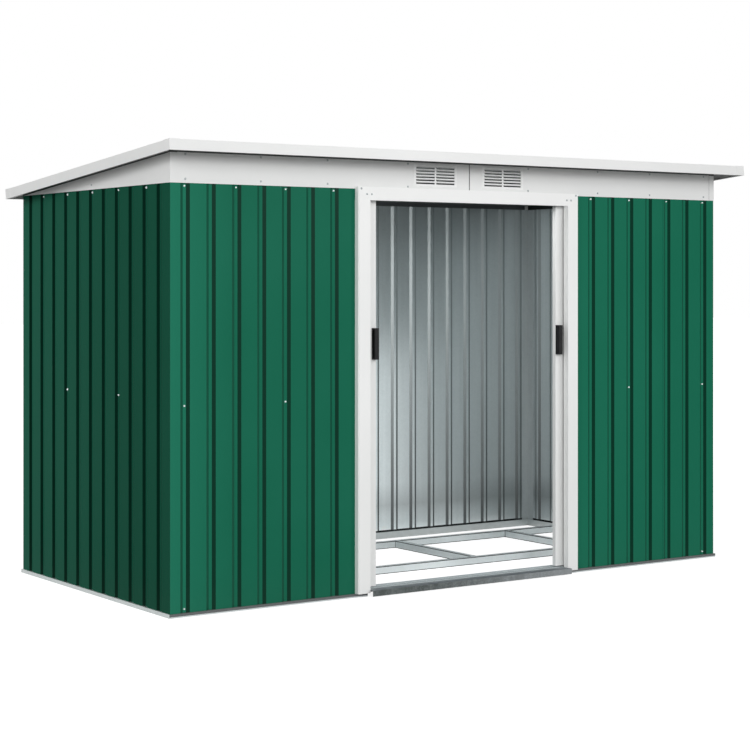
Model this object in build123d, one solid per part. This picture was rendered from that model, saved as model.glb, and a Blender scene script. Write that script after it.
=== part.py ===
from build123d import *
import math
import os

# A free-standing metal garden shed with a single-slope roof and two sliding doors, in millimetres.
# The front faces -Y and +Z is up. The origin is on the ground under the middle of the roof's outline.
# Each side is drawn in its own plan frame: u runs along the side, v runs inwards from the sheet's
# outer face, and z is the height above the ground.

# Walls
wall_width = 2640.0
wall_depth = 1202.0
wall_height = 1497.0
sheet = 0.8

# Ribbed sheet: wide flats with narrow grooves pressed inwards, and sheets that lap over a groove
groove_pitch = 105.0
groove_margin = 45.0
groove_mouth = 38.0
groove_floor = 13.0
groove_depth = 6.0
lap_margin = 5.0
front_laps = (2, 22)
side_laps = (0, 3, 6, 9)
back_laps = (2, 7, 12, 17, 22)

# Roof
roof_side_overhang = 65.0
roof_front_overhang = 114.0
roof_back_overhang = 28.0
roof_rise = 143.6
roof_slope = 5.0
trim_height = 38.5
trim_flange = 30.0
trim_lip = 12.0
trim_wall = 1.0
cap_reach = 42.0
cap_wall = 1.0

# Roof carriers
purlin_width = 40.0
purlin_height = 25.0
purlin_wall = 1.5
carrier_flange = 22.0

# Door posts and header, measured along the front from its left corner
post_start = 782.0
post_face = 54.0
post_proud = 23.0
post_wall = 1.0
post_return = 3.0
post_step = 3.0
header_height = 49.0
header_overlap = 7.0

# Fascia and its vents
fascia_wall = 1.0
fascia_seam = 1.5
gable_wrap = 28.0
vent_offset = 165.0
vent_width = 205.0
vent_height = 85.0
vent_rise = 59.0
vent_plate = 1.2
louvre_span = 183.0
louvre_bar = 8.0
louvre_rows = 6
louvre_pitch = 11.5
louvre_slot = 8.5
louvre_drop = 3.5
louvre_reach = 4.0
louvre_wall = 1.0

# Base rail and floor frame
rail_height = 14.0
rail_wall = 1.2
rail_lip = 6.0
rail_web_height = 30.0
track_top = 26.0
track_rib = 2.5
beam_width = 25.0
beam_wall = 1.5
front_beam_setback = 383.0
back_beam_setback = 940.0
joist_starts = (335.0, 957.0)

# Threshold
threshold_reach = 43.0
threshold_depth = 114.0
threshold_wall = 1.5
threshold_end = 2.0
threshold_foot = 4.0

# Corner posts
corner_leg = 38.0
corner_wall = 1.5

# Sliding doors, which stand open by different amounts
door_clearance = 5.0
door_width = 520.0
door_thickness = 18.0
door_lift = 5.5
door_overlap = 4.0
left_reveal = 50.5
right_reveal = 34.5
stile_width = 50.0
door_rail = 45.0
infill_setback = 3.0
shoe_length = 40.0
shoe_width = 10.0
shoe_inset = 70.0
shoe_clearance = 0.3
hanger_width = 6.0
hanger_height = 18.0
top_track_wall = 1.5

# Door handles
handle_width = 19.0
handle_height = 117.0
handle_depth = 22.0
handle_bottom = 877.0
handle_round = 2.5
handle_grip = 9.0
handle_cheek = 5.0

# Planes and lines that follow from the sizes above
wall_base = rail_height
wall_top = wall_base + wall_height
roof_length = wall_width + 2 * roof_side_overhang
roof_depth = wall_depth + roof_front_overhang + roof_back_overhang
roof_top = wall_top + roof_rise
slope = math.radians(roof_slope)
cap_height = trim_height + cap_wall
roof_run = (roof_depth - cap_height * math.sin(slope)) / math.cos(slope)
roof_front_edge = (cap_height * math.sin(slope) - roof_run * math.cos(slope)) / 2
front_plane = -roof_depth / 2 + roof_front_overhang
back_plane = front_plane + wall_depth
sheet_back = groove_depth + sheet
track_start = sheet_back + rail_wall
door_front = track_start + door_clearance
door_back = door_front + door_thickness
track_end = door_back + door_clearance
door_bottom = track_top + door_lift
header_top = wall_top + header_overlap
header_bottom = header_top - header_height
door_top = header_bottom + door_overlap
opening_start = post_start + post_face
opening_end = wall_width - opening_start
sheet_drop = cap_wall + trim_wall
roof_seat_drop = sheet_drop + sheet_back
carrier_span = wall_width + 2 * (fascia_wall - carrier_flange)

FRONT = Location((-wall_width / 2, front_plane, 0))
BACK = Location((wall_width / 2, back_plane, 0), (0, 0, 180))
LEFT = Location((-wall_width / 2, back_plane, 0), (0, 0, -90))
RIGHT = Location((wall_width / 2, front_plane, 0), (0, 0, 90))
ROOF = Location((0, roof_front_edge, roof_top), (-roof_slope, 0, 0))

nodes = {}


def block(u, v, z):
    """Box from three (low, high) pairs."""
    size = [high - low for low, high in (u, v, z)]
    return Pos(u[0], v[0], z[0]) * Box(*size, align=(Align.MIN, Align.MIN, Align.MIN))


def bent(points, wall):
    """Closed outline of a sheet of even thickness that follows points, on their left-hand side."""
    line = [Vector(*point) for point in points]
    steps = [(end - start).normalized() for start, end in zip(line, line[1:])]
    normals = [Vector(-step.Y, step.X) for step in steps]
    inner = []
    for index, point in enumerate(line):
        before = normals[max(index - 1, 0)]
        after = normals[min(index, len(normals) - 1)]
        inner.append(point + (before + after) * (wall / (1 + before.dot(after))))
    return Polyline(*line, *reversed(inner), close=True)


def rail(points, wall, start, end):
    """Bent section, given as (v, z) points, run along u from start to end."""
    face = make_face(Plane.YZ * bent(points, wall))
    return Pos(start, 0, 0) * extrude(face, end - start, dir=(1, 0, 0))


def groove_centres(length):
    """Evenly spaced grooves, centred in a sheet of this length."""
    count = int((length - 2 * groove_margin) / groove_pitch) + 1
    first = (length - (count - 1) * groove_pitch) / 2
    return [first + index * groove_pitch for index in range(count)]


def ribbed(start, end, centres, low, high, laps=()):
    """Ribbed sheet from low to high with its flats on v = 0. A lap's upper sheet ends past its groove."""
    line = [(start, 0)]
    for index, centre in enumerate(centres):
        lift = sheet if index in laps else 0
        edge = centre + groove_mouth / 2
        line.append((centre - groove_mouth / 2, 0))
        line.append((centre - groove_floor / 2, groove_depth - lift))
        line.append((centre + groove_floor / 2, groove_depth - lift))
        line.append((edge, -lift))
        if lift:
            line.append((edge + lap_margin, -lift))
            line.append((edge + lap_margin, 0))
    line.append((end, 0))
    face = make_face(bent(line, sheet))
    return Pos(0, 0, low) * extrude(face, high - low, dir=(0, 0, 1))


def mirrored(solid):
    return mirror(solid, Plane.YZ)


def roof_underside(y, drop):
    """Height at y of the plane that lies drop below the roof's outer face."""
    return roof_top - (y - roof_front_edge) * math.tan(slope) - drop / math.cos(slope)


def build_walls():
    front_grooves = groove_centres(wall_width)
    side_grooves = groove_centres(wall_depth)
    beside_door = [centre for centre in front_grooves if centre + groove_mouth / 2 < post_start]
    left = FRONT * ribbed(0, post_start, beside_door, wall_base, wall_top, front_laps)
    nodes["front_panel_left"] = left
    nodes["front_panel_right"] = mirrored(left)
    nodes["back_wall"] = BACK * ribbed(0, wall_width, front_grooves, wall_base, wall_top, back_laps)
    side = ribbed(sheet, wall_depth - sheet, side_grooves, wall_base, wall_top, side_laps)
    nodes["right_wall"] = RIGHT * side
    nodes["left_wall"] = mirrored(RIGHT * side)


def build_corner_posts():
    outer = sheet
    line = [(corner_leg, outer), (outer, outer), (outer, corner_leg)]
    face = make_face(bent(list(reversed(line)), corner_wall))
    angle = Pos(0, 0, wall_base) * extrude(face, wall_top - wall_base, dir=(0, 0, 1))
    nodes["corner_post_front_left"] = FRONT * angle
    nodes["corner_post_front_right"] = RIGHT * angle
    nodes["corner_post_back_right"] = BACK * angle
    nodes["corner_post_back_left"] = LEFT * angle


def mitre(length, depth):
    """Plan of a side between the two corner diagonals, from the rail's lip inwards to depth."""
    outline = Polyline(
        (-rail_lip, -rail_lip),
        (length + rail_lip, -rail_lip),
        (length - depth, depth),
        (depth, depth),
        close=True,
    )
    return extrude(make_face(outline), rail_web_height, dir=(0, 0, 1))


def base_section(start, end):
    """Outer lip, ledge under the wall sheet and the web behind it."""
    ledge = rail(
        [(-rail_lip, 0), (-rail_lip, wall_base), (sheet_back + rail_wall, wall_base)],
        -rail_wall,
        start,
        end,
    )
    web = block((start, end), (sheet_back, sheet_back + rail_wall), (0, rail_web_height))
    return ledge + web


def build_base_rails():
    side = base_section(-rail_lip, wall_depth + rail_lip) & mitre(wall_depth, track_start)
    back = base_section(-rail_lip, wall_width + rail_lip) & mitre(wall_width, track_start)
    nodes["base_rail_left"] = LEFT * side
    nodes["base_rail_right"] = RIGHT * side
    nodes["base_rail_back"] = BACK * back
    front = base_section(-rail_lip, opening_start) + floor_track(-rail_lip, opening_start, rail_wall)
    front = front & mitre(wall_width, track_end + 2 * rail_wall)
    nodes["base_rail_front_left"] = FRONT * front
    nodes["base_rail_front_right"] = mirrored(FRONT * front)


def floor_track(start, end, wall):
    """Flat on which the door shoes slide, with an upstand behind the doors."""
    floor = block((start, end), (track_start, track_end), (track_top - wall, track_top))
    upstand = block((start, end), (track_end, track_end + wall), (0, track_top + track_rib))
    return floor + upstand


def build_threshold():
    start, end = opening_start, opening_end
    back = threshold_depth - threshold_reach
    plate = rail(
        [(-threshold_reach, threshold_foot), (-threshold_reach, track_top), (back, track_top), (back, 0)],
        -threshold_wall,
        start,
        end,
    )
    front_rib = block(
        (start, end),
        (track_start - threshold_wall, track_start),
        (track_top - threshold_wall, track_top + track_rib),
    )
    back_rib = block(
        (start, end),
        (track_end, track_end + threshold_wall),
        (track_top - threshold_wall, track_top + track_rib),
    )
    nose = rail(
        [(-threshold_reach, threshold_foot), (-threshold_reach, track_top), (-post_proud - post_wall, track_top)],
        -threshold_wall,
        start - threshold_end,
        end + threshold_end,
    )
    nodes["door_threshold"] = FRONT * (plate + front_rib + back_rib + nose)


def channel(length):
    """Floor channel along u with its web on v = 0 and its open side inwards."""
    return rail(
        [
            (beam_width, 0),
            (0, 0),
            (0, rail_web_height),
            (beam_width, rail_web_height),
        ],
        -beam_wall,
        0,
        length,
    )


def build_floor_frame():
    inner = track_start
    span = channel(wall_width - 2 * inner)
    for name, setback in (("front", front_beam_setback), ("back", back_beam_setback)):
        nodes[f"floor_beam_{name}"] = FRONT * (Pos(inner, setback, 0) * span)
    run = back_beam_setback - front_beam_setback - beam_width
    bridge = Location((0, front_beam_setback + beam_width, 0), (0, 0, 90)) * channel(run)
    left = [FRONT * (Pos(start + beam_width, 0, 0) * bridge) for start in joist_starts]
    joists = left + [mirrored(joist) for joist in reversed(left)]
    for number, joist in enumerate(joists, start=1):
        nodes[f"floor_joist_{number}"] = joist


def build_door_frame():
    """Folded posts with a stepped outer corner, the header over them and the doors' top track."""
    face = -post_proud
    corner = [
        (post_start, face + post_step),
        (post_start + post_step, face + post_step),
        (post_start + post_step, face),
    ]
    inner_side = [(opening_start, face), (opening_start, post_return)]
    section = bent([(post_start, sheet_back), *corner, *inner_side], post_wall)
    post = Pos(0, 0, wall_base) * extrude(
        make_face(section), header_bottom - wall_base, dir=(0, 0, 1)
    )
    nodes["door_post_left"] = FRONT * post
    nodes["door_post_right"] = mirrored(FRONT * post)
    header = rail(
        [
            (post_return, header_bottom),
            (face, header_bottom),
            (face, header_top),
            (-fascia_wall, header_top),
        ],
        -post_wall,
        post_start + post_step,
        wall_width - post_start - post_step,
    )
    end_section = bent([(post_start, -fascia_wall), *corner], post_wall)
    end = FRONT * Pos(0, 0, header_bottom) * extrude(
        make_face(end_section), header_height, dir=(0, 0, 1)
    )
    nodes["door_header"] = FRONT * header + end + mirrored(end)
    track = rail(
        [
            (sheet_back, door_top + door_clearance),
            (sheet_back, wall_top),
            (track_end + top_track_wall, wall_top),
            (track_end + top_track_wall, door_top + door_clearance),
        ],
        -top_track_wall,
        corner_leg + sheet,
        wall_width - corner_leg - sheet,
    )
    nodes["door_top_track"] = FRONT * track


def build_fascia():
    top = roof_underside(front_plane, roof_seat_drop)
    seat = roof_underside(front_plane + carrier_flange, roof_seat_drop)
    plate = rail(
        [(-fascia_wall, wall_top), (-fascia_wall, top), (carrier_flange, seat)],
        -fascia_wall,
        0,
        (wall_width - fascia_seam) / 2,
    )
    centre = wall_width / 2 - vent_offset
    vent_middle = wall_top + vent_rise
    hole_height = louvre_rows * louvre_pitch
    hole = block(
        (centre - louvre_span / 2, centre + louvre_span / 2),
        (-2 * fascia_wall, fascia_wall),
        (vent_middle - hole_height / 2, vent_middle + hole_height / 2),
    )
    left = FRONT * (plate - hole)
    nodes["fascia_front_left"] = left
    nodes["fascia_front_right"] = mirrored(left)
    front, back = front_plane - 2 * fascia_wall, back_plane
    gable = Polyline(
        (front, wall_top),
        (back, wall_top),
        (back, roof_underside(back, roof_seat_drop)),
        (front, roof_underside(front, roof_seat_drop)),
        close=True,
    )
    under = roof_seat_drop + fascia_wall
    inner_front = front_plane + carrier_flange
    flange = Polyline(
        (inner_front, roof_underside(inner_front, roof_seat_drop)),
        (back, roof_underside(back, roof_seat_drop)),
        (back, roof_underside(back, under)),
        (inner_front, roof_underside(inner_front, under)),
        close=True,
    )
    skin = extrude(make_face(Plane.YZ * gable), fascia_wall, dir=(1, 0, 0))
    seat_flange = extrude(make_face(Plane.YZ * flange), carrier_flange, dir=(1, 0, 0))
    wrap = block(
        (0, gable_wrap),
        (front, front + fascia_wall),
        (wall_top, roof_underside(front_plane, roof_seat_drop)),
    )
    side = Pos(-wall_width / 2 - fascia_wall, 0, 0) * (skin + seat_flange + wrap)
    nodes["fascia_left"] = side
    nodes["fascia_right"] = mirrored(side)


def build_vents():
    """Pressed plate with two columns of slots, each under a hood that leans out and down."""
    centre = wall_width / 2 - vent_offset
    middle = wall_top + vent_rise
    face = -fascia_wall
    plate = block(
        (centre - vent_width / 2, centre + vent_width / 2),
        (face - vent_plate, face),
        (middle - vent_height / 2, middle + vent_height / 2),
    )
    tip = face - vent_plate - louvre_reach
    column = (louvre_span - louvre_bar) / 2
    starts = (centre - louvre_span / 2, centre + louvre_bar / 2)
    first_top = middle - (louvre_rows - 1) / 2 * louvre_pitch + louvre_slot / 2
    for row in range(louvre_rows):
        top = first_top + row * louvre_pitch
        section = Polyline(
            (face, top),
            (face, top + louvre_wall),
            (tip, top + louvre_wall - louvre_drop),
            (tip, top - louvre_drop),
            close=True,
        )
        for start in starts:
            slot = block((start, start + column), (tip, 0), (top - louvre_slot, top))
            hood = extrude(make_face(Plane.YZ * section), column, dir=(1, 0, 0))
            plate = plate - slot + Pos(start, 0, 0) * hood
    nodes["vent_left"] = FRONT * plate
    nodes["vent_right"] = mirrored(FRONT * plate)


def trim_points(edge):
    """Lip, outer face and top flange of a roof trim, from the trim's lower inner edge."""
    return [
        (edge + trim_lip, -cap_wall - trim_height),
        (edge, -cap_wall - trim_height),
        (edge, -cap_wall),
        (edge + trim_flange, -cap_wall),
    ]


def build_roof():
    """Roof parts are drawn flat, with y down the slope from the front edge, and then tilted."""
    edge = cap_wall
    half = roof_length / 2 - edge
    inner = edge + trim_wall
    spread = roof_length - 2 * inner
    flat = ribbed(0, spread, groove_centres(spread), 0, roof_run - 2 * inner)
    lying = Rot(90, 0, 0) * mirror(flat, Plane.XZ)
    nodes["roof_sheet"] = ROOF * (Pos(-spread / 2, roof_run - inner, -sheet_drop) * lying)
    long_trim = rail(trim_points(edge), -trim_wall, -half, half)
    front = ROOF * long_trim
    back = ROOF * (Pos(0, roof_run, 0) * (Rot(0, 0, 180) * long_trim))
    nodes["roof_trim_front"] = front
    nodes["roof_trim_back"] = back
    start = edge + trim_flange
    short = rail(trim_points(0), -trim_wall, start, roof_run - start)
    left = ROOF * (Pos(-half, roof_run, 0) * (Rot(0, 0, -90) * short))
    nodes["roof_trim_left"] = left
    nodes["roof_trim_right"] = mirrored(left)
    purlin = rail(
        [
            (-purlin_width / 2, -purlin_height),
            (-purlin_width / 2, 0),
            (purlin_width / 2, 0),
            (purlin_width / 2, -purlin_height),
        ],
        -purlin_wall,
        -carrier_span / 2,
        carrier_span / 2,
    )
    nodes["roof_purlin"] = ROOF * (Pos(0, roof_run / 2, -roof_seat_drop) * purlin)
    back_seat = roof_underside(back_plane, roof_seat_drop)
    inner_seat = roof_underside(back_plane - carrier_flange, roof_seat_drop)
    rear = rail(
        [(0, wall_top), (0, back_seat), (carrier_flange, inner_seat)],
        -purlin_wall,
        (wall_width - carrier_span) / 2,
        (wall_width + carrier_span) / 2,
    )
    nodes["roof_rail_back"] = BACK * rear


def build_roof_caps():
    """Corner caps that wrap the ends of the trims."""
    shell = block((0, cap_reach), (0, cap_reach), (-cap_height, 0))
    hollow = block((cap_wall, cap_reach), (cap_wall, cap_reach), (-cap_height, -cap_wall))
    cap = Pos(-roof_length / 2, 0, 0) * (shell - hollow)
    rear_cap = Pos(0, roof_run, 0) * mirror(cap, Plane.XZ)
    nodes["roof_cap_front_left"] = ROOF * cap
    nodes["roof_cap_front_right"] = mirrored(ROOF * cap)
    nodes["roof_cap_back_left"] = ROOF * rear_cap
    nodes["roof_cap_back_right"] = mirrored(ROOF * rear_cap)


def door_frame(tail, lead):
    """Stiles and rails with two shoes under them and two hangers on top."""
    frame = block((tail, lead), (door_front, door_back), (door_bottom, door_top))
    frame -= block(
        (tail + stile_width, lead - stile_width),
        (door_front, door_back),
        (door_bottom + door_rail, door_top - door_rail),
    )
    middle = (door_front + door_back) / 2
    for centre in (tail + shoe_inset, lead - shoe_inset):
        span = (centre - shoe_length / 2, centre + shoe_length / 2)
        shoe = (middle - shoe_width / 2, middle + shoe_width / 2)
        hanger = (middle - hanger_width / 2, middle + hanger_width / 2)
        frame += block(span, shoe, (track_top + shoe_clearance, door_bottom))
        frame += block(span, hanger, (door_top, door_top + hanger_height))
    return frame


def door_infill(tail, lead):
    width = lead - tail - 2 * stile_width
    low, high = door_bottom + door_rail, door_top - door_rail
    panel = ribbed(0, width, groove_centres(width), low, high)
    return Pos(tail + stile_width, door_front + infill_setback, 0) * panel


def door_handle(lead):
    """Upright pull at the leading edge, hollowed behind its outer lip for the fingers."""
    low, high = handle_bottom, handle_bottom + handle_height
    back = lead - handle_width
    pull = block((back, lead), (door_front - handle_depth, door_front), (low, high))
    pull = fillet(pull.edges().filter_by(Axis.Z).group_by(Axis.Y)[0], handle_round)
    hollow = block(
        (back, back + handle_grip),
        (door_front - handle_depth + handle_cheek, door_front - handle_cheek),
        (low + handle_cheek, high - handle_cheek),
    )
    return pull - hollow


def build_doors():
    for side, reveal in (("left", left_reveal), ("right", right_reveal)):
        lead = opening_start + reveal
        tail = lead - door_width
        pieces = {
            "frame": door_frame(tail, lead),
            "infill": door_infill(tail, lead),
            "handle": door_handle(lead),
        }
        for name, solid in pieces.items():
            placed = FRONT * solid
            nodes[f"{side}_door_{name}"] = placed if side == "left" else mirrored(placed)


build_walls()
build_corner_posts()
build_base_rails()
build_threshold()
build_floor_frame()
build_door_frame()
build_fascia()
build_vents()
build_roof()
build_roof_caps()
build_doors()

os.makedirs("parts", exist_ok=True)
for name, solid in nodes.items():
    export_step(solid, f"parts/{name}.step")
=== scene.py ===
# Metal storage shed: ribbed green walls, white trim, two sliding doors standing open.
# Everything is in metres, with +Z up and the doors on the -Y side.
import math

import bpy
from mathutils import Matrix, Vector


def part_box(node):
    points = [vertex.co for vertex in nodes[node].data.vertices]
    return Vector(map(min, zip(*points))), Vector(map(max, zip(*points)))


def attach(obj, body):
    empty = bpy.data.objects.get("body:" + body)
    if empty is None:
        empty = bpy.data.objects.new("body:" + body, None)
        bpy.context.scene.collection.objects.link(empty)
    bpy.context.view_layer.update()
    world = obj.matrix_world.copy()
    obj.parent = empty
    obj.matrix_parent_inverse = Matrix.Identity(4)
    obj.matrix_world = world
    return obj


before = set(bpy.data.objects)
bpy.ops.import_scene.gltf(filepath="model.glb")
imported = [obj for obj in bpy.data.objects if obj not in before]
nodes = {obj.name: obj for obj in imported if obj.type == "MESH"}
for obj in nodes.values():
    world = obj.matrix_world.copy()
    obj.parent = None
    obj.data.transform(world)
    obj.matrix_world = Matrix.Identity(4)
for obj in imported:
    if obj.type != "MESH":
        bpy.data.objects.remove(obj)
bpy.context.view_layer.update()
scene = bpy.context.scene
scene.view_settings.view_transform = "Standard"

# The viewpoint: a long lens at the front left, held level about 1.2 m above the ground.
# The shift frames the shed as the photograph does.
photo_camera = bpy.data.cameras.new("photo_camera")
photo_camera.sensor_width = 36.0
photo_camera.lens = 87.80
photo_camera.shift_x = 0.1218
photo_camera.shift_y = -0.1237
viewpoint = bpy.data.objects.new("viewpoint", photo_camera)
viewpoint.location = (-4.427, -6.093, 1.165)
viewpoint.rotation_euler = (math.radians(90), 0, math.radians(-32.86))
scene.collection.objects.link(viewpoint)
scene.camera = viewpoint

# Wall sheets: thin steel pressed into narrow grooves between wide flats, laid upright and lapped.
# Outside they have green baked paint, a little uneven, and inside they show the zinc they are
# coated with. They stand on the base rail and are screwed to it, to the corner posts and on top.
paint_green = (0.0085, 0.142, 0.080, 1)
paint_green_worn_and_highlight = (0.014, 0.162, 0.097, 1)
zinc_light = (0.89, 0.95, 0.96, 1)
zinc_dark = (0.72, 0.79, 0.80, 1)
dust_colour = (0.36, 0.35, 0.31, 1)
# Painted shade: the grooves' slanted sides are painted darker, deepest on the sides turned the shaded
# way.
groove_deep_shade = 0.24
groove_soft_shade = 0.66
# Painted shade on the folds inside: darkest at the foot, lighter towards the top.
inner_fold_shade_low = 0.16
inner_fold_shade_high = 0.66
fold_dark_height = 0.1
fold_light_height = 1.3
fold_extra_rough = 0.2
inner_metal = 0.85
inner_relief = 0.1
# Painted shade inside: the bare zinc darkens from the room's middle towards its right end.
room_middle = 0.35
room_right_end = 1.30
# Painted reflection and shade: lighter and darker bands on the inside zinc near the foot.
painted_sheen_reach = 0.5
foot_painted_sheen = ((0.07, 1.28), (0.17, 1.08), (0.30, 0.78), (0.50, 1.04))
# Painted shadow: a dark line along the foot of the inside zinc, at the base rail.
foot_line_top = 0.038
foot_painted_shadow = (0.03, 0.035, 0.035, 1)
wall_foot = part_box("left_wall")[0].z
wall_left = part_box("front_panel_left")[0].x
wall_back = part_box("left_wall")[1].y
forwards = (0, -1, 0)
backwards = (0, 1, 0)
leftwards = (-1, 0, 0)
rightwards = (1, 0, 0)
upwards = (0, 0, 1)


def placed(tree, kind, **values):
    """New node in a tree, with its unlinked sockets set by name."""
    node = tree.nodes.new(kind)
    for name, value in values.items():
        node.inputs[name.replace("_", " ")].default_value = value
    return node


def group_with(name, wanted, given):
    """Empty shader group with float inputs, as name and value, and outputs, as name and kind."""
    group = bpy.data.node_groups.new(name, "ShaderNodeTree")
    for label, value in wanted:
        socket = group.interface.new_socket(label, in_out="INPUT", socket_type="NodeSocketFloat")
        socket.default_value = value
    for label, kind in given:
        group.interface.new_socket(label, in_out="OUTPUT", socket_type=kind)
    return group, group.nodes.new("NodeGroupInput"), group.nodes.new("NodeGroupOutput")


def maths(tree, operation, first, second):
    """Maths node whose two inputs are links or plain numbers."""
    node = tree.nodes.new("ShaderNodeMath")
    node.operation = operation
    for socket, value in zip(node.inputs, (first, second)):
        if isinstance(value, (int, float)):
            socket.default_value = value
        else:
            tree.links.new(value, socket)
    return node.outputs["Value"]


def make_coat_group():
    """Baked paint: broad blotches in tone, soft waves of the sheet and a fine orange peel."""
    group, source, result = group_with(
        "baked_coat",
        (("Blotch Size", 0.4), ("Wave Size", 0.35), ("Peel Size", 0.004), ("Peel Share", 0.05)),
        (("Blotch", "NodeSocketFloat"), ("Height", "NodeSocketFloat")),
    )
    place = group.nodes.new("ShaderNodeTexCoord")
    noises = []
    for label, detail in (("Blotch Size", 4.0), ("Wave Size", 1.0), ("Peel Size", 2.0)):
        noise = placed(group, "ShaderNodeTexNoise", Detail=detail, Roughness=0.55)
        group.links.new(place.outputs["Object"], noise.inputs["Vector"])
        scale = maths(group, "DIVIDE", 1.0, source.outputs[label])
        group.links.new(scale, noise.inputs["Scale"])
        noises.append(noise.outputs["Fac"])
    blotch, wave, peel = noises
    group.links.new(blotch, result.inputs["Blotch"])
    fine = maths(group, "MULTIPLY", peel, source.outputs["Peel Share"])
    group.links.new(maths(group, "ADD", wave, fine), result.inputs["Height"])
    return group


def make_zinc_group():
    """Hot-dip zinc: spangles of slightly different tone, with streaks down the sheet."""
    group, source, result = group_with(
        "zinc_spangle",
        (("Spangle Size", 0.016), ("Streak Size", 0.06), ("Streak Stretch", 0.12)),
        (("Tone", "NodeSocketFloat"), ("Height", "NodeSocketFloat")),
    )
    place = group.nodes.new("ShaderNodeTexCoord")
    cells = placed(group, "ShaderNodeTexVoronoi", Randomness=1.0)
    group.links.new(place.outputs["Object"], cells.inputs["Vector"])
    spangle_scale = maths(group, "DIVIDE", 1.0, source.outputs["Spangle Size"])
    group.links.new(spangle_scale, cells.inputs["Scale"])
    stretch = placed(group, "ShaderNodeVectorMath")
    stretch.operation = "MULTIPLY"
    group.links.new(place.outputs["Object"], stretch.inputs[0])
    share_up = placed(group, "ShaderNodeCombineXYZ", X=1.0, Y=1.0)
    group.links.new(source.outputs["Streak Stretch"], share_up.inputs["Z"])
    group.links.new(share_up.outputs["Vector"], stretch.inputs[1])
    streak = placed(group, "ShaderNodeTexNoise", Detail=3.0)
    group.links.new(stretch.outputs["Vector"], streak.inputs["Vector"])
    streak_scale = maths(group, "DIVIDE", 1.0, source.outputs["Streak Size"])
    group.links.new(streak_scale, streak.inputs["Scale"])
    grey = placed(group, "ShaderNodeSeparateColor")
    group.links.new(cells.outputs["Color"], grey.inputs["Color"])
    share = maths(group, "MULTIPLY", grey.outputs["Red"], 0.2)
    tone = maths(group, "ADD", share, maths(group, "MULTIPLY", streak.outputs["Fac"], 0.8))
    group.links.new(tone, result.inputs["Tone"])
    group.links.new(streak.outputs["Fac"], result.inputs["Height"])
    return group


def make_dust_group():
    """Dust and splashes that settle near the ground and thin out upwards."""
    group, source, result = group_with(
        "settled_dust",
        (("Foot", 0.0), ("Reach", 0.25), ("Amount", 0.3)),
        (("Mask", "NodeSocketFloat"),),
    )
    place = group.nodes.new("ShaderNodeTexCoord")
    parts = group.nodes.new("ShaderNodeSeparateXYZ")
    group.links.new(place.outputs["Object"], parts.inputs["Vector"])
    speck = placed(group, "ShaderNodeTexNoise", Scale=38.0, Detail=6.0, Roughness=0.7)
    group.links.new(place.outputs["Object"], speck.inputs["Vector"])
    above = maths(group, "SUBTRACT", parts.outputs["Z"], source.outputs["Foot"])
    fade = maths(group, "SUBTRACT", 1.0, maths(group, "DIVIDE", above, source.outputs["Reach"]))
    near = maths(group, "MAXIMUM", fade, 0.0)
    strength = maths(group, "MULTIPLY", maths(group, "POWER", near, 2.0), speck.outputs["Fac"])
    mask = maths(group, "MULTIPLY", strength, source.outputs["Amount"])
    group.links.new(maths(group, "MINIMUM", mask, 1.0), result.inputs["Mask"])
    return group


baked_coat = make_coat_group()
zinc_spangle = make_zinc_group()
settled_dust = make_dust_group()


def grouped(tree, group, **values):
    """Shader group placed in a material, with its own values."""
    node = tree.nodes.new("ShaderNodeGroup")
    node.node_tree = group
    for name, value in values.items():
        node.inputs[name.replace("_", " ")].default_value = value
    return node.outputs


def blended(tree, factor, first, second):
    """Colour that goes from the first to the second with a mask."""
    mix = tree.nodes.new("ShaderNodeMix")
    mix.data_type = "RGBA"
    tree.links.new(factor, mix.inputs[0])
    for socket, value in ((mix.inputs[6], first), (mix.inputs[7], second)):
        if isinstance(value, tuple):
            socket.default_value = value
        else:
            tree.links.new(value, socket)
    return mix.outputs[2]


def ranged(tree, value, low, high, start=0.0, end=1.0):
    """Value mapped in a straight line from one range to another, and held at its ends."""
    node = placed(tree, "ShaderNodeMapRange", From_Min=start, From_Max=end, To_Min=low, To_Max=high)
    tree.links.new(value, node.inputs["Value"])
    return node.outputs["Result"]


def bumped(tree, height, distance, strength):
    """Normal of a surface with this relief."""
    bump = placed(tree, "ShaderNodeBump", Distance=distance, Strength=strength)
    tree.links.new(height, bump.inputs["Height"])
    return bump.outputs["Normal"]


def new_finish(name):
    """New material with its node tree and its Principled shader."""
    material = bpy.data.materials.new(name)
    material.use_nodes = True
    tree = material.node_tree
    return material, tree, tree.nodes["Principled BSDF"]


def facing(tree, outward):
    """1 on faces turned squarely to this direction, less on slanted ones, -1 on the far side."""
    geometry = tree.nodes.new("ShaderNodeNewGeometry")
    dot = tree.nodes.new("ShaderNodeVectorMath")
    dot.operation = "DOT_PRODUCT"
    tree.links.new(geometry.outputs["True Normal"], dot.inputs[0])
    dot.inputs[1].default_value = outward
    return dot.outputs["Value"]


no_painted_highlight = ("X", 0.0, 1.0, 1.0)
# Each wall's outward direction, and the way in which its grooves' sides with the deeper painted shade
# are turned.
shaded_way = {forwards: leftwards, leftwards: forwards, rightwards: forwards, backwards: rightwards}
squarely = 0.97
edge_on = -0.1
turned_to_shade = 0.1


def along(tree, axis):
    """Place along one axis of the model, in metres."""
    place = tree.nodes.new("ShaderNodeTexCoord")
    parts = tree.nodes.new("ShaderNodeSeparateXYZ")
    tree.links.new(place.outputs["Object"], parts.inputs["Vector"])
    return parts.outputs[axis]


def toned(colour, tone):
    """Colour made darker or lighter, with its alpha kept."""
    return tuple(tone * part for part in colour[:3]) + (1,)


def dimmed(tree, colour, strength):
    """Colour made darker or lighter by a value that changes over the surface."""
    dull = tree.nodes.new("ShaderNodeVectorMath")
    dull.operation = "SCALE"
    tree.links.new(colour, dull.inputs[0])
    tree.links.new(strength, dull.inputs["Scale"])
    return dull.outputs["Vector"]


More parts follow.
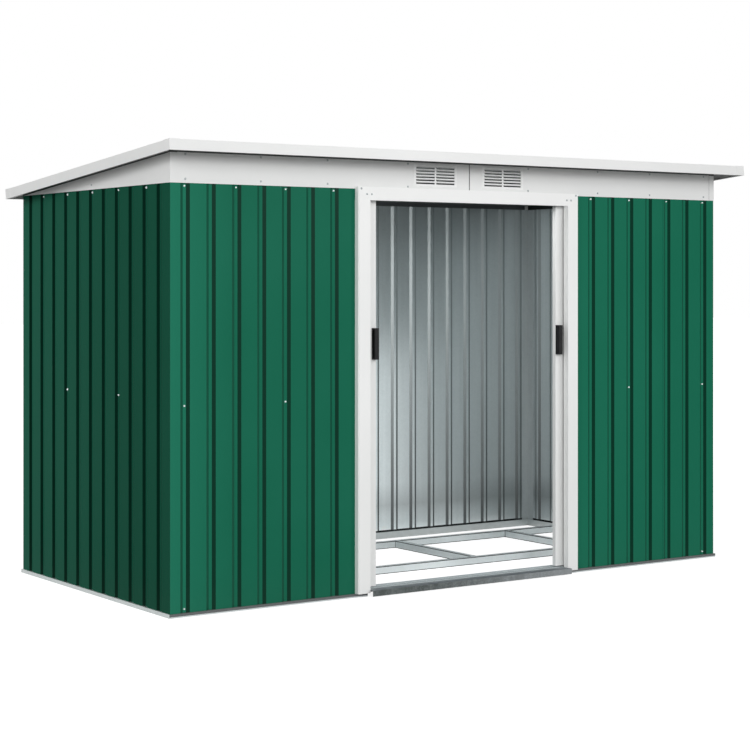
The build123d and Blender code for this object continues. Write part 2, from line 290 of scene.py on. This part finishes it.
def green_paint(tree, blotch, turned, outward, tone, glow):
    """Green, worn in blotches, lighter in the painted highlight of the glow, with painted shade on the
    grooves' sides.
    """
    varied = ranged(tree, blotch, 0.0, 0.6, 0.35, 0.75)
    green = blended(tree, varied, toned(paint_green, tone), toned(paint_green_worn_and_highlight, tone))
    # Painted highlight: the green is lighter where the glow is strong.
    axis, strong, gone, share = glow
    highlight_mask = ranged(tree, along(tree, axis), 1.0, 0.0, strong, gone)
    green = blended(tree, highlight_mask, green, toned(paint_green_worn_and_highlight, tone * share))
    # Painted shade: the grooves' slanted sides are darker, deepest on those turned the shaded way.
    shaded_side = maths(tree, "GREATER_THAN", facing(tree, shaded_way[outward]), turned_to_shade)
    deep_shade = toned(paint_green, tone * groove_deep_shade)
    soft_shade = toned(paint_green, tone * groove_soft_shade)
    groove = blended(tree, shaded_side, soft_shade, deep_shade)
    slanted = maths(tree, "LESS_THAN", turned, squarely)
    green = blended(tree, slanted, green, groove)
    dust = grouped(tree, settled_dust, Foot=wall_foot, Reach=0.20, Amount=0.02)
    return blended(tree, dust["Mask"], green, dust_colour)


def painted_sheen_bands(tree, height):
    """Painted reflection and shade on the bare zinc by height: lighter and darker bands near the foot.
    """
    sheen = tree.nodes.new("ShaderNodeValToRGB")
    tree.links.new(ranged(tree, height, 0.0, 1.0, 0.0, painted_sheen_reach), sheen.inputs["Fac"])
    stops = sheen.color_ramp.elements
    stops.remove(stops[1])
    stops[0].position = foot_painted_sheen[0][0]
    for position, strength in foot_painted_sheen[1:]:
        stops.new(position)
    for stop, (position, strength) in zip(stops, foot_painted_sheen):
        stop.color = (strength, strength, strength, 1)
    return sheen.outputs["Color"]


def bare_zinc(tree, zinc_tone, on_folds, inside):
    """Zinc inside, with painted shade on the folds and to the right, and painted reflection, shade and
    shadow at the foot.
    """
    height = along(tree, "Z")
    grey = blended(tree, zinc_tone, zinc_dark, zinc_light)
    # Painted shade: the zinc is darker towards the room's right end.
    shadow = ranged(tree, along(tree, "X"), inside[0], inside[1], room_middle, room_right_end)
    grey = dimmed(tree, grey, maths(tree, "MULTIPLY", shadow, painted_sheen_bands(tree, height)))
    # Painted shade on the folds, darkest at the foot.
    fold_low = toned(zinc_dark, inner_fold_shade_low)
    fold_high = toned(zinc_dark, inner_fold_shade_high)
    up = ranged(tree, height, 0.0, 1.0, fold_dark_height, fold_light_height)
    grey = blended(tree, on_folds, grey, blended(tree, up, fold_low, fold_high))
    # Painted shadow line at the foot.
    at_foot = maths(tree, "LESS_THAN", height, foot_line_top)
    return blended(tree, at_foot, grey, foot_painted_shadow)


def sheet_finish(name, outward, tone=1.0, gloss=0.05, glow=no_painted_highlight, inside=(1.0, 1.0)):
    """Green paint outside and on the edges, bare zinc inside.

    The glow is a painted highlight: an axis, the place where the paint is lightest, the place where
    that ends and how much lighter it is. The zinc inside goes, as painted shade, from the first tone
    at the room's middle to the second at its right end.
    """
    material, tree, shader = new_finish(name)
    coat = grouped(tree, baked_coat, Blotch_Size=0.5, Wave_Size=0.30, Peel_Size=0.004)
    zinc = grouped(tree, zinc_spangle, Spangle_Size=0.008, Streak_Size=0.022, Streak_Stretch=0.03)
    turned = facing(tree, outward)
    outside = maths(tree, "GREATER_THAN", turned, edge_on)
    on_folds = maths(tree, "GREATER_THAN", turned, -squarely)
    green = green_paint(tree, coat["Blotch"], turned, outward, tone, glow)
    grey = bare_zinc(tree, zinc["Tone"], on_folds, inside)
    tree.links.new(blended(tree, outside, grey, green), shader.inputs["Base Color"])
    tree.links.new(ranged(tree, outside, inner_metal, 0.0), shader.inputs["Metallic"])
    zinc_rough = ranged(tree, zinc["Tone"], 0.38, 0.27)
    fold_rough = maths(tree, "MULTIPLY", on_folds, fold_extra_rough)
    rough = tree.nodes.new("ShaderNodeMix")
    tree.links.new(outside, rough.inputs["Factor"])
    tree.links.new(maths(tree, "ADD", zinc_rough, fold_rough), rough.inputs["A"])
    tree.links.new(ranged(tree, coat["Blotch"], 0.30, 0.40), rough.inputs["B"])
    tree.links.new(rough.outputs["Result"], shader.inputs["Roughness"])
    shader.inputs["Specular IOR Level"].default_value = gloss
    relief = maths(tree, "MULTIPLY", coat["Height"], ranged(tree, outside, inner_relief, 1.0))
    tree.links.new(bumped(tree, relief, 0.0012, 0.5), shader.inputs["Normal"])
    return material


def dress(finish, *names):
    """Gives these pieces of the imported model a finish."""
    for name in names:
        for slot in nodes[name].material_slots:
            slot.material = finish


# Painted highlight: the green is painted lighter near the left end of the front's left panel and towards
# the back of the left wall.
front_painted_highlight = ("X", wall_left, wall_left + 0.26, 1.18)
left_painted_highlight = ("Y", wall_back, wall_back - 0.9, 1.30)
dress(sheet_finish("front_sheet", forwards, glow=front_painted_highlight), "front_panel_left")
# Painted shade and light: the tones 1.12 on the right front panel, 0.55 on the left wall and 0.62 on the
# right wall make the one green paint lighter or darker for the light that falls on each wall.
dress(sheet_finish("front_right_sheet", forwards, 1.12, 0.03), "front_panel_right")
dress(sheet_finish("left_sheet", leftwards, 0.55, 0.01, left_painted_highlight), "left_wall")
dress(sheet_finish("right_sheet", rightwards, 0.62, 0.01, inside=(0.72, 0.72)), "right_wall")
dress(sheet_finish("back_sheet", backwards, inside=(1.0, 0.56)), "back_wall")

# White trim: folded steel with a satin white coat on the fascia, the roof and its edges, the door
# posts and the header. It laps over the green sheets and is screwed through them.
paint_white = (0.86, 0.865, 0.86, 1)
paint_white_shade = (0.80, 0.81, 0.80, 1)


def white_coat(tree, shader, blotch=0.6, wave=0.25, tone=1.0, relief=0.0008, rough=(0.34, 0.44)):
    """Softly mottled white. Sets the shader's roughness and relief, and gives the colour."""
    coat = grouped(tree, baked_coat, Blotch_Size=blotch, Wave_Size=wave, Peel_Size=0.003)
    tree.links.new(ranged(tree, coat["Blotch"], *rough), shader.inputs["Roughness"])
    tree.links.new(bumped(tree, coat["Height"], relief, 0.5), shader.inputs["Normal"])
    shade = ranged(tree, coat["Blotch"], 0.0, 0.7, 0.35, 0.7)
    return blended(tree, shade, toned(paint_white, tone), toned(paint_white_shade, tone))


def post_finish():
    """White coat of the posts and the header, made lighter as painted light, with a little grime above
    the foot.
    """
    material, tree, shader = new_finish("post_white")
    white = white_coat(tree, shader, tone=1.15)
    dust = grouped(tree, settled_dust, Foot=wall_foot, Reach=0.22, Amount=0.02)
    tree.links.new(blended(tree, dust["Mask"], white, dust_colour), shader.inputs["Base Color"])
    return material


dress(post_finish(), "door_header", "door_post_left", "door_post_right")

# Roof sheet and fascia: the same white coat outside, and painted shade, near black, inside, which
# shows through the doorway as a black band under the header.
painted_shade_black = (0.012, 0.016, 0.015, 1)
turned_away = -0.5
half_seam = 0.0019
roof_fall = math.tan(math.radians(5))
trim_front_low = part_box("roof_trim_front")[0]
# Painted shade along the tops of the fascia and the gables, under the roof's edge, begins at these
# heights.
fascia_shade_foot = trim_front_low.z + 0.0035
gable_shade_foot = trim_front_low.z + roof_fall * trim_front_low.y + 0.012
roof_edges = ("roof_trim_front", "roof_trim_back", "roof_trim_left", "roof_trim_right")
roof_corners = [f"roof_cap_{end}_{side}" for end in ("front", "back") for side in ("left", "right")]


def backed_finish(name, outward, seam=0.0, top=None, lean=0.0):
    """White coat, with painted shade, near black, on the faces turned inwards, in the middle seam and on
    top.

    The top is a height, which falls towards the back by the lean.
    """
    material, tree, shader = new_finish(name)
    in_painted_shade = maths(tree, "LESS_THAN", facing(tree, outward), turned_away)
    if top:
        slope_height = maths(tree, "MULTIPLY", along(tree, "Y"), lean)
        level = maths(tree, "ADD", along(tree, "Z"), slope_height)
        in_painted_shade = maths(tree, "MAXIMUM", in_painted_shade, maths(tree, "GREATER_THAN", level, top))
    if seam:
        from_middle = maths(tree, "ABSOLUTE", along(tree, "X"), 0.0)
        in_painted_shade = maths(tree, "MAXIMUM", in_painted_shade, maths(tree, "LESS_THAN", from_middle, seam))
    white = white_coat(tree, shader)
    tree.links.new(blended(tree, in_painted_shade, white, painted_shade_black), shader.inputs["Base Color"])
    return material


dress(backed_finish("roof_white", upwards), "roof_sheet", *roof_edges, *roof_corners)
fascia_front_white = backed_finish("fascia_front_white", forwards, half_seam, fascia_shade_foot)
dress(fascia_front_white, "fascia_front_left", "fascia_front_right")
for side, outward in (("left", leftwards), ("right", rightwards)):
    gable_white = backed_finish(f"fascia_{side}_white", outward, 0.0, gable_shade_foot, roof_fall)
    dress(gable_white, "fascia_" + side)

# Vents: pressed white plates fixed over holes in the front fascia. Each has two columns of slots,
# under louvres that lean out and down.


def vent_finish():
    """White coat made lighter as painted light, with painted shade, near black, behind the louvres."""
    material, tree, shader = new_finish("vent_white")
    behind = maths(tree, "LESS_THAN", facing(tree, forwards), edge_on)
    white = white_coat(tree, shader, blotch=0.1, wave=0.1, tone=1.1, relief=0.0004)
    tree.links.new(blended(tree, behind, white, painted_shade_black), shader.inputs["Base Color"])
    return material


dress(vent_finish(), "vent_left", "vent_right")

# Base rail and floor frame: bare galvanised steel, folded and bolted together on the ground.
# The inner posts, the roof carriers and the doors' top track are of the same stock.


def zinc_coat(tree, shader, spangle, tone, metal, rough):
    """Spangled zinc. Sets the shader's metal, roughness and relief, and gives the colour."""
    zinc = grouped(tree, zinc_spangle, Spangle_Size=spangle)
    shader.inputs["Metallic"].default_value = metal
    tree.links.new(ranged(tree, zinc["Tone"], *rough), shader.inputs["Roughness"])
    tree.links.new(bumped(tree, zinc["Height"], 0.0006, 0.4), shader.inputs["Normal"])
    return blended(tree, zinc["Tone"], toned(zinc_dark, tone), toned(zinc_light, tone))


def zinc_finish(name, spangle, grime, tone=1.0, metal=0.55):
    """Bare galvanised steel, dusty near the ground."""
    material, tree, shader = new_finish(name)
    grey = zinc_coat(tree, shader, spangle, tone, metal, (0.45, 0.30))
    dust = grouped(tree, settled_dust, Foot=0.0, Reach=0.06, Amount=grime)
    tree.links.new(blended(tree, dust["Mask"], grey, dust_colour), shader.inputs["Base Color"])
    return material


over_one_side = 1.5


def make_fold_group():
    """Mask of a straight piece's outer edges, where two sides of its box meet."""
    wanted = [(f"{end} {axis}", 0.0) for end in ("Low", "High") for axis in "XYZ"]
    group, source, result = group_with(
        "folded_edges", (*wanted, ("Width", 0.002)), (("Mask", "NodeSocketFloat"),)
    )
    place = group.nodes.new("ShaderNodeTexCoord")
    parts = group.nodes.new("ShaderNodeSeparateXYZ")
    group.links.new(place.outputs["Object"], parts.inputs["Vector"])
    near_sides = 0.0
    for axis in "XYZ":
        from_low = maths(group, "SUBTRACT", parts.outputs[axis], source.outputs["Low " + axis])
        from_high = maths(group, "SUBTRACT", source.outputs["High " + axis], parts.outputs[axis])
        nearest = maths(group, "MINIMUM", from_low, from_high)
        near_side = maths(group, "LESS_THAN", nearest, source.outputs["Width"])
        near_sides = maths(group, "ADD", near_side, near_sides)
    group.links.new(maths(group, "GREATER_THAN", near_sides, over_one_side), result.inputs["Mask"])
    return group


folded_edges = make_fold_group()
# Painted shade on folded edges and on the sides of the threshold's track ribs.
edge_painted_shade = (0.035, 0.042, 0.045, 1)
frame_metal = 0.2
frame_rough = 0.5
rail_foot_top = 0.0045
track_rib_height = 0.0022
# Painted shade and reflection on the threshold's front face, from its left to its right, and a top
# darker towards the front than the back.
front_face_painted_shade = (0.050, 0.062, 0.060, 1)
front_face_painted_reflection = (0.24, 0.26, 0.27, 1)
top_darker_front = (0.13, 0.15, 0.165, 1)
top_lighter_back = (0.70, 0.78, 0.80, 1)


def beam_finish(name, piece, fold_width, tone):
    """Bright galvanised steel with fine spangle, and painted shade on its folded edges."""
    material, tree, shader = new_finish(name)
    low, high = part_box(piece)
    sides = {f"Low_{axis}": value for axis, value in zip("XYZ", low)}
    sides.update({f"High_{axis}": value for axis, value in zip("XYZ", high)})
    folds = grouped(tree, folded_edges, Width=fold_width, **sides)
    grey = zinc_coat(tree, shader, 0.006, tone, frame_metal, (0.50, 0.36))
    tree.links.new(blended(tree, folds["Mask"], grey, edge_painted_shade), shader.inputs["Base Color"])
    return material


def front_rail_finish():
    """Galvanised steel painted dark as shade under the front sheets, with a lighter foot."""
    material, tree, shader = new_finish("front_rail_zinc")
    zinc = grouped(tree, zinc_spangle, Spangle_Size=0.01)
    # Painted shade under the front sheets.
    grey = blended(tree, zinc["Tone"], toned(zinc_dark, 0.12), toned(zinc_light, 0.15))
    foot = maths(tree, "LESS_THAN", along(tree, "Z"), rail_foot_top)
    grey = blended(tree, foot, grey, toned(zinc_light, 0.7))
    tree.links.new(grey, shader.inputs["Base Color"])
    shader.inputs["Metallic"].default_value = frame_metal
    shader.inputs["Roughness"].default_value = frame_rough
    return material


def threshold_finish():
    """Galvanised steel with painted shade on its front face, giving way to a painted reflection at the
    right, a top that is darker towards the front, and painted shade on the track ribs' sides.
    """
    material, tree, shader = new_finish("threshold_zinc")
    low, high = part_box("door_threshold")
    zinc = grouped(tree, zinc_spangle, Spangle_Size=0.006)
    rightward = ranged(tree, along(tree, "X"), 0.0, 1.0, -0.2, 0.5)
    backward = ranged(tree, along(tree, "Y"), 0.0, 1.0, low.y + 0.02, high.y)
    side = blended(tree, rightward, front_face_painted_shade, front_face_painted_reflection)
    top = blended(tree, backward, top_darker_front, top_lighter_back)
    flat = maths(tree, "GREATER_THAN", facing(tree, upwards), -turned_away)
    varied = blended(tree, flat, side, top)
    on_ribs = maths(tree, "GREATER_THAN", along(tree, "Z"), high.z - track_rib_height)
    rib = blended(tree, flat, toned(zinc_dark, 0.8), edge_painted_shade)
    varied = blended(tree, on_ribs, varied, rib)
    spot = ranged(tree, zinc["Tone"], 0.0, 0.2, 0.4, 0.8)
    tree.links.new(blended(tree, spot, varied, zinc_dark), shader.inputs["Base Color"])
    shader.inputs["Metallic"].default_value = frame_metal
    shader.inputs["Roughness"].default_value = frame_rough
    tree.links.new(bumped(tree, zinc["Height"], 0.0006, 0.4), shader.inputs["Normal"])
    return material


corner_zinc = zinc_finish("corner_post_zinc", 0.014, 0.3, 0.68, 0.4)
dress(corner_zinc, *(name for name in nodes if name.startswith("corner_post")))
frame_zinc = zinc_finish("frame_zinc", 0.014, 0.5, 0.75)
dress(frame_zinc, "base_rail_back", "base_rail_right", "base_rail_left")
dress(front_rail_finish(), "base_rail_front_left", "base_rail_front_right")
# Painted shade: the top track, the purlin and the back roof rail are zinc made nearly black, as shade
# under the roof.
zinc_painted_shade = zinc_finish("zinc_painted_shade", 0.014, 0.0, 0.10, 0.2)
dress(zinc_painted_shade, "door_top_track", "roof_purlin", "roof_rail_back")
dress(threshold_finish(), "door_threshold")
for name in nodes:
    if name.startswith("floor_"):
        dress(beam_finish(name + "_zinc", name, 0.0028, 1.1), name)

# Sliding doors: a white folded frame round a ribbed green sheet, on black plastic shoes below and
# hangers above, which run in the threshold and the top track.
shoe_top = 0.0315
hanger_foot = 1.473
plastic_black = (0.012, 0.012, 0.013, 1)


def door_finish():
    """White coat on the door's frame, made lighter as painted light, with black plastic below and above
    it.
    """
    material, tree, shader = new_finish("door_frame_white")
    height = along(tree, "Z")
    below = maths(tree, "LESS_THAN", height, shoe_top)
    above = maths(tree, "GREATER_THAN", height, hanger_foot)
    plastic = maths(tree, "MAXIMUM", below, above)
    white = white_coat(tree, shader, blotch=0.5, tone=1.12, rough=(0.36, 0.46))
    tree.links.new(blended(tree, plastic, white, plastic_black), shader.inputs["Base Color"])
    return material


dress(door_finish(), "left_door_frame", "right_door_frame")
dress(sheet_finish("door_sheet", forwards), "left_door_infill", "right_door_infill")

# Screws: zinc-plated self-tapping screws on washers. They sit in the grooves along the top and the
# middle of the sheets, and at the foot in front and behind, and they hold the fascia, the gables
# and the ends of the header.
groove_pitch = 0.105
groove_depth = 0.006
first_front_groove = 0.060
first_side_groove = 0.076
last_front_groove = 24
row_top = 1.501
row_middle = 0.734
side_row_middle = 0.754
row_foot = 0.026
front_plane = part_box("left_wall")[0].y
back_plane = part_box("back_wall")[1].y
wall_half = -wall_left
fascia_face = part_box("fascia_front_left")[0].y
fascia_offsets = (0.060, 0.371, 0.659, 1.025)
fascia_rows = (1.525, 1.611)
gable_face = -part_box("fascia_left")[0].x
gable_screw_reach = 0.595
gable_screw_height = 1.528
header_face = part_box("door_header")[0].y
header_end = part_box("door_header")[1].x
header_screws = ((0.013, 1.511), (0.0385, 1.491), (0.0605, 1.491))
sheet_screw = {"Washer Radius": 0.0055, "Head Radius": 0.0040}
side_screw = {"Washer Radius": 0.0048, "Head Radius": 0.0035}
trim_screw = {"Washer Radius": 0.0042, "Head Radius": 0.0032}
head_crown = 0.55


def make_screw_tree():
    """Washer and low domed head on every point, turned to the point's outward direction."""
    tree = bpy.data.node_groups.new("washer_head_screws", "GeometryNodeTree")
    wanted = (
        ("Screw Places", "NodeSocketGeometry", None),
        ("Washer Radius", "NodeSocketFloat", 0.0055),
        ("Washer Height", "NodeSocketFloat", 0.0008),
        ("Head Radius", "NodeSocketFloat", 0.0040),
        ("Head Height", "NodeSocketFloat", 0.0026),
        ("Finish", "NodeSocketMaterial", None),
    )
    for label, kind, value in wanted:
        socket = tree.interface.new_socket(label, in_out="INPUT", socket_type=kind)
        if value is not None:
            socket.default_value = value
    tree.interface.new_socket("Screws", in_out="OUTPUT", socket_type="NodeSocketGeometry")
    source = tree.nodes.new("NodeGroupInput")
    result = tree.nodes.new("NodeGroupOutput")
    washer = placed(tree, "GeometryNodeMeshCylinder", Vertices=16)
    tree.links.new(source.outputs["Washer Radius"], washer.inputs["Radius"])
    tree.links.new(source.outputs["Washer Height"], washer.inputs["Depth"])
    head = placed(tree, "GeometryNodeMeshCone", Vertices=12)
    tree.links.new(source.outputs["Head Radius"], head.inputs["Radius Bottom"])
    top_radius = maths(tree, "MULTIPLY", source.outputs["Head Radius"], head_crown)
    tree.links.new(top_radius, head.inputs["Radius Top"])
    tree.links.new(source.outputs["Head Height"], head.inputs["Depth"])
    lift = tree.nodes.new("ShaderNodeCombineXYZ")
    tree.links.new(source.outputs["Washer Height"], lift.inputs["Z"])
    raised = tree.nodes.new("GeometryNodeTransform")
    tree.links.new(head.outputs["Mesh"], raised.inputs["Geometry"])
    tree.links.new(lift.outputs["Vector"], raised.inputs["Translation"])
    screw = tree.nodes.new("GeometryNodeJoinGeometry")
    tree.links.new(washer.outputs["Mesh"], screw.inputs["Geometry"])
    tree.links.new(raised.outputs["Geometry"], screw.inputs["Geometry"])
    outward = tree.nodes.new("GeometryNodeInputNamedAttribute")
    outward.data_type = "FLOAT_VECTOR"
    outward.inputs["Name"].default_value = "outward"
    turn = tree.nodes.new("FunctionNodeAlignRotationToVector")
    turn.axis = "Z"
    tree.links.new(outward.outputs["Attribute"], turn.inputs["Vector"])
    spread = tree.nodes.new("GeometryNodeInstanceOnPoints")
    tree.links.new(source.outputs["Screw Places"], spread.inputs["Points"])
    tree.links.new(screw.outputs["Geometry"], spread.inputs["Instance"])
    tree.links.new(turn.outputs["Rotation"], spread.inputs["Rotation"])
    solid = tree.nodes.new("GeometryNodeRealizeInstances")
    tree.links.new(spread.outputs["Instances"], solid.inputs["Geometry"])
    finish = tree.nodes.new("GeometryNodeSetMaterial")
    tree.links.new(solid.outputs["Geometry"], finish.inputs["Geometry"])
    tree.links.new(source.outputs["Finish"], finish.inputs["Material"])
    tree.links.new(finish.outputs["Geometry"], result.inputs["Screws"])
    return tree


screw_tree = make_screw_tree()
screw_zinc = zinc_finish("screw_zinc", 0.004, 0.0)
screw_grey = zinc_finish("screw_grey", 0.004, 0.0, 0.55, 0.3)


def screw_row(name, places, outward, size, finish):
    """One mesh with a screw at each place, on a face turned outward."""
    points = bpy.data.meshes.new(name + "_places")
    points.from_pydata(places, [], [])
    direction = points.attributes.new("outward", "FLOAT_VECTOR", "POINT")
    for entry in direction.data:
        entry.vector = outward
    maker = bpy.data.objects.new(name + "_maker", points)
    scene.collection.objects.link(maker)
    modifier = maker.modifiers.new("screws", "NODES")
    modifier.node_group = screw_tree
    wanted = {**size, "Finish": finish}
    for item in screw_tree.interface.items_tree:
        if item.name in wanted:
            modifier[item.identifier] = wanted[item.name]
    evaluated = maker.evaluated_get(bpy.context.evaluated_depsgraph_get())
    mesh = bpy.data.meshes.new_from_object(evaluated)
    bpy.data.objects.remove(maker)
    piece = bpy.data.objects.new(name, mesh)
    scene.collection.objects.link(piece)
    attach(piece, "shed")
    return piece


def front_groove(index):
    """Place of a groove along the front or the back, counted from the left."""
    return wall_left + first_front_groove + index * groove_pitch


def side_groove(index):
    """Place of a groove along a side wall, counted from the front."""
    return front_plane + first_side_groove + index * groove_pitch


def both_ways(indices):
    """Groove numbers from both ends of a long wall."""
    return sorted(set(indices) | {last_front_groove - index for index in indices})


def long_wall_places(rows, plane):
    """Screw places in the grooves of the front or the back, row by row."""
    return [
        (front_groove(index), plane, height) for indices, height in rows for index in both_ways(indices)
    ]


front_rows = (((0, 2, 4, 6), row_top), ((0, 4), row_middle), ((0,), row_foot))
front_places = long_wall_places(front_rows, front_plane + groove_depth)
screw_row("front_sheet_screws", front_places, forwards, sheet_screw, screw_zinc)

side_rows = (((1, 3, 5, 7, 9), row_top), ((3, 7), side_row_middle))
for name, side in (("left", -1), ("right", 1)):
    side_places = []
    for indices, height in side_rows:
        for index in indices:
            side_places.append((side * (wall_half - groove_depth), side_groove(index), height))
    screw_row(name + "_sheet_screws", side_places, (side, 0, 0), side_screw, screw_zinc)

back_rows = (((0, 2, 4, 6, 8, 10, 12), row_top), ((0, 4, 8, 12), row_middle), ((0, 6, 12), row_foot))
back_places = long_wall_places(back_rows, back_plane - groove_depth)
screw_row("back_sheet_screws", back_places, backwards, sheet_screw, screw_zinc)

fascia_places = []
for offset in fascia_offsets:
    for height in fascia_rows:
        for side in (-1, 1):
            fascia_places.append((side * (wall_half - offset), fascia_face, height))
screw_row("fascia_screws", fascia_places, forwards, trim_screw, screw_grey)

for name, side in (("left", -1), ("right", 1)):
    gable_place = (side * gable_face, front_plane + gable_screw_reach, gable_screw_height)
    screw_row(name + "_gable_screws", [gable_place], (side, 0, 0), trim_screw, screw_grey)

header_places = []
for inset, height in header_screws:
    for side in (-1, 1):
        header_places.append((side * (header_end - inset), header_face, height))
screw_row("header_screws", header_places, forwards, trim_screw, screw_grey)

# Door handles: moulded black plastic pulls with a fine grain, one on each door's leading stile,
# hollowed behind the outer lip for the fingers.
plastic_rubbed = (0.022, 0.022, 0.024, 1)


def handle_finish():
    """Black plastic with a fine moulded grain, a little lighter where it is rubbed."""
    material, tree, shader = new_finish("handle_black")
    coat = grouped(tree, baked_coat, Blotch_Size=0.03, Wave_Size=0.02, Peel_Size=0.0009, Peel_Share=0.6)
    rubbed = ranged(tree, coat["Blotch"], 0.0, 1.0, 0.4, 0.7)
    black = blended(tree, rubbed, plastic_black, plastic_rubbed)
    tree.links.new(black, shader.inputs["Base Color"])
    tree.links.new(ranged(tree, coat["Blotch"], 0.50, 0.62), shader.inputs["Roughness"])
    shader.inputs["Specular IOR Level"].default_value = 0.15
    tree.links.new(bumped(tree, coat["Height"], 0.0002, 0.5), shader.inputs["Normal"])
    return material


dress(handle_finish(), "left_door_handle", "right_door_handle")

# The studio: a white floor that keeps the shed's shadow, a white surround, soft lamps at the front
# and the left, and two weak ones in the room: under the roof and behind the right front panel.
floor_reach = 40.0
floor_grey = (0.40, 0.40, 0.40, 1)
lift_near = 0.86
shadow_reach = 2.0
shadow_end = 6.0
ambient_level = 0.28
floor_mesh = bpy.data.meshes.new("studio_floor")
floor_mesh.from_pydata(
    [
        (-floor_reach, -floor_reach, 0),
        (floor_reach, -floor_reach, 0),
        (floor_reach, floor_reach, 0),
        (-floor_reach, floor_reach, 0),
    ],
    [],
    [(0, 1, 2, 3)],
)
studio_floor = bpy.data.objects.new("studio_floor", floor_mesh)
scene.collection.objects.link(studio_floor)


def seen_directly(tree):
    """1 for rays from the camera or from a reflection, 0 for light that falls on things."""
    path = tree.nodes.new("ShaderNodeLightPath")
    mirrored = maths(tree, "MAXIMUM", path.outputs["Is Glossy Ray"], path.outputs["Is Transmission Ray"])
    return maths(tree, "MAXIMUM", path.outputs["Is Camera Ray"], mirrored)


def floor_finish():
    """Matt white floor, lifted to white where it is seen, so that only the shadow shows."""
    material, tree, shader = new_finish("floor_white")
    shader.inputs["Base Color"].default_value = floor_grey
    shader.inputs["Roughness"].default_value = 0.9
    shader.inputs["Emission Color"].default_value = (1, 1, 1, 1)
    place = tree.nodes.new("ShaderNodeTexCoord")
    away = tree.nodes.new("ShaderNodeVectorMath")
    away.operation = "LENGTH"
    tree.links.new(place.outputs["Object"], away.inputs[0])
    white = ranged(tree, away.outputs["Value"], lift_near, 1.0, shadow_reach, shadow_end)
    lift = maths(tree, "MULTIPLY", seen_directly(tree), white)
    tree.links.new(lift, shader.inputs["Emission Strength"])
    return material


floor_mesh.materials.append(floor_finish())

surround = bpy.data.worlds.new("white_surround")
surround.use_nodes = True
scene.world = surround
sky_tree = surround.node_tree
background = sky_tree.nodes["Background"]
background.inputs["Color"].default_value = (1, 1, 1, 1)
level = ranged(sky_tree, seen_directly(sky_tree), ambient_level, 1.0)
sky_tree.links.new(level, background.inputs["Strength"])


def soft_lamp(name, place, target, size, power, height=None):
    """Area lamp turned to a point, square unless it has a height of its own."""
    lamp = bpy.data.lights.new(name, "AREA")
    lamp.shape = "RECTANGLE"
    lamp.size = size
    lamp.size_y = height or size
    lamp.energy = power
    holder = bpy.data.objects.new(name, lamp)
    holder.location = place
    holder.rotation_euler = (Vector(target) - Vector(place)).to_track_quat("-Z", "Y").to_euler()
    scene.collection.objects.link(holder)


shed_middle = (0.0, 0.0, 0.8)
soft_lamp("key_lamp", (4.6, -7.2, 4.2), shed_middle, 3.0, 180)
soft_lamp("front_lamp", (-2.4, -8.0, 3.0), shed_middle, 2.2, 165)
soft_lamp("left_lamp", (-7.0, 1.0, 3.8), shed_middle, 1.6, 85)
soft_lamp("fill_lamp", (-7.0, -5.0, 3.0), shed_middle, 2.5, 160)
soft_lamp("room_lamp", (0.3, -0.25, 1.52), (0.3, 0.1, 0.0), 0.5, 3.2)
soft_lamp("inner_glow_lamp", (1.08, -0.38, 0.44), (0.45, 0.6, 0.44), 0.4, 0.92, 0.80)
